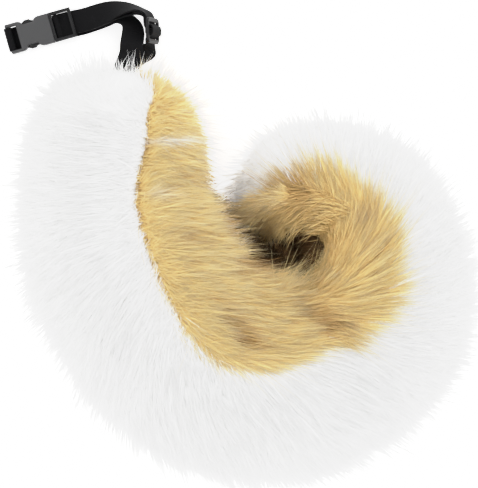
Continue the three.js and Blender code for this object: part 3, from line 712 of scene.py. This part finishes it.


# Darker places (negative), painted shade in the partings, along the hollow's rim and inside the base's right
# edge, and paler places (positive), pale tufts and streaks of the tan coat, in shares of the curl's reach
# from its
# middle: across, up, half length, half width, degrees, value.
TAN_SHADE_AND_TUFTS = [
    (-0.01, -0.01, 0.13, 0.045, 15, -0.9),
    (-0.28, 0.15, 0.14, 0.03, 108, -0.75),
    (-0.02, 0.20, 0.16, 0.08, 20, -0.32),
    (-0.33, 0.33, 0.13, 0.018, 100, -0.4),
    (-0.17, -0.05, 0.07, 0.03, 0, -0.55),
    (0.05, -0.25, 0.09, 0.018, -35, -0.75),
    (0.13, -0.28, 0.07, 0.018, -75, -0.75),
    (-0.27, -0.27, 0.09, 0.018, -60, -0.7),
    (-0.22, -0.35, 0.06, 0.018, -40, -0.8),
    (-0.54, 0.75, 0.07, 0.045, 0, 1.0),
    (0.08, -0.12, 0.12, 0.02, -35, -0.25),
    (0.30, -0.02, 0.08, 0.018, 15, -0.25),
    (-0.08, 0.20, 0.09, 0.025, 30, -0.35),
    (-0.45, 0.05, 0.08, 0.02, -25, -0.3),
    (-0.42, 0.30, 0.08, 0.02, -15, -0.3),
    (-0.48, 0.44, 0.09, 0.014, 8, 1.0),
    (-0.54, 0.22, 0.03, 0.02, 0, 0.6),
    (-0.42, 0.68, 0.05, 0.03, 0, 0.6),
    (-0.34, 0.52, 0.14, 0.022, 100, 0.5),
    (0.28, 0.10, 0.10, 0.03, 60, -0.3),
    (0.05, 0.24, 0.10, 0.03, 90, -0.3),
]
NO_PATCHES = []


def patches(points, table):
    total = np.zeros(len(points))
    for x, y, half_length, half_width, degrees, value in table:
        a = math.radians(degrees)
        dx, dy = points[:, 0] - x * CURL_REACH, points[:, 1] - y * CURL_REACH
        along = (dx * math.cos(a) + dy * math.sin(a)) / (half_length * CURL_REACH)
        across = (dy * math.cos(a) - dx * math.sin(a)) / (half_width * CURL_REACH)
        total += value * np.exp(-(along ** 2 + across ** 2))
    return np.clip(total, -1, 1)


def coat(name, side, count, pieces, weight, crossing, lying, thickness, table, material, seed, rng):
    """One colour's pile over the whole tail, in several pieces."""
    share, angle = roots(count, side, weight, seed)
    angle = cross_over(share, angle, side, *crossing, seed + 2)
    points, hair, clump, slender = pile(share, angle, side, seed + 1, **lying)
    values = [hair, clump, patches(points[1], table)]
    radius = rng.uniform(*thickness, count) * slender
    for k in range(pieces):
        part = slice(k * count // pieces, (k + 1) * count // pieces)
        piece = strands(f"{name}_{k + 1}", points[:, part], radius[part], [v[part] for v in values])
        dress(piece, material)


rng = np.random.default_rng(21)
coat(
    "pile_white", WHITE_SIDE, count=80000, pieces=3, weight=white_weight, crossing=(0.45, 0.14),
    lying={"rise": 7.5, "lay": 44.0, "per_clump": 20, "clump_pull": 0.22, "spread": 0.08},
    thickness=(0.22, 0.42), table=NO_PATCHES, material=WHITE_FUR, seed=11, rng=rng,
)
# the tan coat takes the table of painted shade and pale tufts
coat(
    "pile_tan", TAN_SIDE, count=62000, pieces=2, weight=tan_weight, crossing=(0.2, 0.08),
    lying={"rise": 9.0, "lay": 50.0, "per_clump": 18, "clump_pull": 0.5, "spread": 0.11},
    thickness=(0.17, 0.31), table=TAN_SHADE_AND_TUFTS, material=TAN_FUR, seed=31, rng=rng,
)


def inward_pile(name, side, middle, size, count, longest, droop, patch, material, seed):
    """Pile that leans from the walls round a gap towards the gap's middle and droops below its roots."""
    rng = np.random.default_rng(seed)
    middle = np.array(middle)

    def weight(share, angle):
        root = surface(share, angle)
        near = np.linalg.norm((root[:, :2] - middle) / size, axis=1)
        on_wall = angle < 0.6 if side == WHITE_SIDE else angle > 2.75
        return on_wall * np.exp(-near ** 2) + LEAST_WEIGHT

    share, angle = roots(count, side, weight, seed + 1)
    root = surface(share, angle)
    inwards = unit(np.column_stack([middle - root[:, :2], np.zeros(count)]))
    aim = unit((surface_normal(share, angle) * rng.uniform(0.5, 2.0, (count, 1)) + inwards) * [1, 1, 0])
    aim = turned(aim, rng.normal(0, 0.3, count))
    points = straight(root, aim, longest * rng.uniform(0.35, 1.0, count), 0.0, 0.0)
    points[1, :, 2] = root[:, 2] * (1 - 0.4 * droop) + rng.normal(2, 2.0, count)
    points[2, :, 2] = root[:, 2] * rng.uniform(1 - 1.6 * droop, 1 - 0.5 * droop, count)
    values = [rng.random(count), rng.random(count), np.full(count, patch)]
    dress(strands(name, points, rng.uniform(0.28, 0.45, count), values), material)


# the pile in the hollow and in the gap takes the very dark material, painted shade
inward_pile(
    "pile_hollow", TAN_SIDE, middle=(-10.0, 4.0), size=(43.0, 33.0), count=7000, longest=46.0, droop=0.6,
    patch=0.0, material=HOLLOW_SHADE_FUR, seed=41,
)
inward_pile(
    "pile_gap_tan", TAN_SIDE, middle=(-72.0, 34.0), size=(22.0, 40.0), count=2200, longest=30.0, droop=0.6,
    patch=0.1, material=HOLLOW_SHADE_FUR, seed=51,
)
inward_pile(
    "pile_gap_white", WHITE_SIDE, middle=(-68.0, 40.0), size=(22.0, 34.0), count=260, longest=36.0, droop=0.3,
    patch=0.0, material=WHITE_FUR, seed=61,
)


def bed_pile(count, rng):
    """A bed of pile low across the hollow, dark as painted shade."""
    ends = np.array([[-62.0, 30.0], [16.0, -14.0]])
    bed_line = ends[1] - ends[0]
    across = np.array([-bed_line[1], bed_line[0], 0.0]) / np.linalg.norm(bed_line)
    half_width = 27.0
    middle = ends[0] + bed_line * rng.random((count, 1))
    aim = turned(np.tile(across, (count, 1)), rng.normal(0, 0.45, count))
    aim *= rng.choice([-1.0, 1.0], (count, 1))
    middle = np.column_stack([middle, rng.uniform(5, 26, count)])
    forward_reach = rng.uniform(8, half_width, (count, 1))
    points = np.array([middle - aim * half_width, middle, middle + aim * forward_reach])
    points[0, :, 2] += rng.uniform(0, 6, count)
    points[2, :, 2] -= rng.uniform(0, 4, count)
    values = [rng.random(count), rng.random(count), np.zeros(count)]
    dress(strands("pile_bed", points, rng.uniform(0.4, 0.6, count), values), HOLLOW_SHADE_FUR)


def fringe_pile(count, rng):
    """A pale fringe on the inner side near the strap end."""

    def weight(share, angle):
        return (section(share).turn < 200) * (angle > 2.2) * (angle < 3.05) + LEAST_WEIGHT

    share, angle = roots(count, TAN_SIDE, weight, 81)
    aim = level_aim(share, 0.25, -1.0, 0.35, rng)
    length, lift, drift = rng.uniform(14, 30, count), rng.uniform(2, 6, count), rng.uniform(-6, 8, count)
    points = straight(surface(share, angle), aim, length, lift, drift)
    values = [rng.random(count), rng.random(count), rng.uniform(0.3, 0.9, count)]
    dress(strands("pile_fringe", points, rng.uniform(0.16, 0.3, count), values), TAN_FUR)


def stray_hairs(count, rng):
    """A few hairs that fan out over the webbing where it leaves the fur."""
    root = np.column_stack([
        STRAP_ENTRY[0] + rng.uniform(-17, 17, count),
        STRAP_ENTRY[1] + rng.uniform(-14, -4, count),
        rng.uniform(50, 58, count),
    ])
    aim = turned(np.tile([[0.1, 1.0, 0.0]], (count, 1)), rng.normal(0, 0.42, count))
    length, lift, drift = rng.uniform(14, 34, count), rng.uniform(3, 7, count), rng.uniform(-2, 6, count)
    points = straight(root, aim, length, lift, drift)
    values = [rng.random(count), rng.random(count), np.zeros(count)]
    dress(strands("pile_strays", points, rng.uniform(0.16, 0.28, count), values), WHITE_FUR)


def tip_pile(count, rng):
    """Tan pile that runs on past the tail's tip."""

    def weight(share, angle):
        return (section(share).turn > 446) * (angle < 2.5) + LEAST_WEIGHT

    share, angle = roots(count, TAN_SIDE, weight, 91)
    aim = level_aim(share, 1.0, 0.45, 0.25, rng)
    length = rng.uniform(26, 48, count) * (0.6 + 0.4 * smooth01(section(share).turn, 446, 480))
    lift, drift = rng.uniform(12, 22, count), rng.uniform(8, 26, count)
    points = straight(surface(share, angle), aim, length, lift, drift)
    patch = rng.uniform(-0.25, 0.12, count)
    values = [rng.random(count), rng.random(count), patch]
    dress(strands("pile_tip", points, rng.uniform(0.2, 0.36, count), values), TAN_FUR)


def overhang_pile(count, rng):
    """The tip's pile that hangs over the upper edge of the hollow."""

    def weight(share, angle):
        turn = section(share).turn
        return (turn > 390) * (angle > 1.8) * (angle < 2.8) * (0.4 + smooth01(turn, 400, 440)) + LEAST_WEIGHT

    share, angle = roots(count, TAN_SIDE, weight, 71)
    aim = level_aim(share, 1.0, -0.35, 0.32, rng)
    length = rng.uniform(22, 40, count) * (1 + 0.35 * smooth01(section(share).turn, 405, 445))
    lift, drift = rng.uniform(4, 10, count), -rng.uniform(-4, 10, count)
    points = straight(surface(share, angle), aim, length, lift, drift)
    # the overhang takes the tan table's painted shade and pale tufts at 0.6 of their strength, and is
    # darkened a little more
    patch = np.clip(patches(points[1], TAN_SHADE_AND_TUFTS) * 0.6 + rng.uniform(-0.2, 0.0, count), -1, 1)
    values = [rng.random(count), rng.random(count), patch]
    dress(strands("pile_overhang", points, rng.uniform(0.22, 0.4, count), values), TAN_FUR)


rng = np.random.default_rng(45)
bed_pile(3800, rng)
fringe_pile(1100, rng)
stray_hairs(60, rng)
tip_pile(2600, rng)
overhang_pile(3500, rng)


MERGE_DISTANCE = 0.01
FLAT_WITHIN_DEGREES = 0.8
CORNER_DEGREES = 35
SMOOTH_DEGREES = 38


def finished_copy(name, material, bevel=0.0):
    """The CAD piece again with its corners rounded and its curves smooth."""
    obj = frame["nodes"][name].copy()
    obj.data = obj.data.copy()
    obj.name = name.replace("_", "-") + "-finished"
    bpy.context.scene.collection.objects.link(obj)
    edit_all(obj)
    bpy.ops.mesh.remove_doubles(threshold=MERGE_DISTANCE * MM)
    bpy.ops.mesh.dissolve_limited(angle_limit=math.radians(FLAT_WITHIN_DEGREES))
    bpy.ops.object.mode_set(mode="OBJECT")
    if bevel:
        rounding = obj.modifiers.new("rounding", "BEVEL")
        rounding.width = bevel * MM
        rounding.segments = 2
        rounding.limit_method = "ANGLE"
        rounding.angle_limit = math.radians(CORNER_DEGREES)
        bpy.ops.object.modifier_apply(modifier="rounding")
    bpy.ops.object.shade_smooth_by_angle(angle=math.radians(SMOOTH_DEGREES))
    dress(obj, material)
    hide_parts(name)


finished_copy("strap_socket_side", WEBBING)
finished_copy("strap_slider_side", WEBBING)
finished_copy("strap_slider", BLACK_PLASTIC_PAINTED_SHADE, bevel=0.5)
finished_copy("buckle_socket", BLACK_PLASTIC_PAINTED_LIT, bevel=0.5)
finished_copy("buckle_plug", BLACK_PLASTIC_PAINTED_SHADE, bevel=0.4)

bpy.ops.mesh.primitive_plane_add(size=8, location=(0, 0, -0.0002))
floor = bpy.context.object
floor.name = "floor"
floor.data.materials.append(FLOOR)

world = bpy.data.worlds.new("studio")
bpy.context.scene.world = world
world.use_nodes = True
background = world.node_tree.nodes["Background"]
background.inputs["Color"].default_value = (1, 1, 1, 1)
background.inputs["Strength"].default_value = 1.75


def softbox(name, place, size, power):
    """A square light at the place, turned to the frame's middle."""
    light = bpy.data.lights.new(name, "AREA")
    light.shape = "SQUARE"
    light.size = size
    light.energy = power
    obj = bpy.data.objects.new(name, light)
    bpy.context.scene.collection.objects.link(obj)
    obj.location = place
    obj.rotation_euler = (-Vector(place)).to_track_quat("-Z", "Y").to_euler()


softbox("softbox_key", place=(-1.2, 1.3, 2.2), size=1.8, power=7)
softbox("softbox_top", place=(0.2, -0.2, 2.9), size=2.2, power=8)

# The camera looks straight down. The photo shows PIXEL mm a pixel at the strap's level.
PIXEL = 1.087
PHOTO_HEIGHT_PX = 488
PHOTO_MIDDLE_PX = (239, 244)
CURL_MIDDLE_PX = (290, 250)
VIEW_HEIGHT = 2.60
STRAP_LEVEL = 0.008
camera_data = bpy.data.cameras.new("camera")
camera = bpy.data.objects.new("camera", camera_data)
bpy.context.scene.collection.objects.link(camera)
bpy.context.scene.camera = camera
camera_data.sensor_width = 36
camera_data.lens = camera_data.sensor_width * (VIEW_HEIGHT - STRAP_LEVEL) / (PHOTO_HEIGHT_PX * PIXEL * MM)
camera_data.clip_start = 0.05
camera.location = (
    (OFFSET[0] + (PHOTO_MIDDLE_PX[0] - CURL_MIDDLE_PX[0]) * PIXEL) * MM,
    (OFFSET[1] + (CURL_MIDDLE_PX[1] - PHOTO_MIDDLE_PX[1]) * PIXEL) * MM,
    VIEW_HEIGHT,
)

bpy.context.scene.cycles.diffuse_bounces = 10

# a soft shoulder in the picture's tones, so that white pile keeps its strands against a white floor
TONE_REACH = 3.0
SHOULDER = [(0.35, 0.35), (0.62, 0.62), (0.85, 0.79), (1.15, 0.875), (1.6, 0.92), (2.1, 1.0)]
view = bpy.context.scene.view_settings
view.view_transform = "Standard"
view.use_curve_mapping = True
tones = view.curve_mapping
tones.white_level = (TONE_REACH, TONE_REACH, TONE_REACH)
all_channels = tones.curves[3]
for light, shown in SHOULDER:
    all_channels.points.new(light / TONE_REACH, shown)
for point in all_channels.points:
    point.handle_type = "AUTO_CLAMPED"
tones.update()
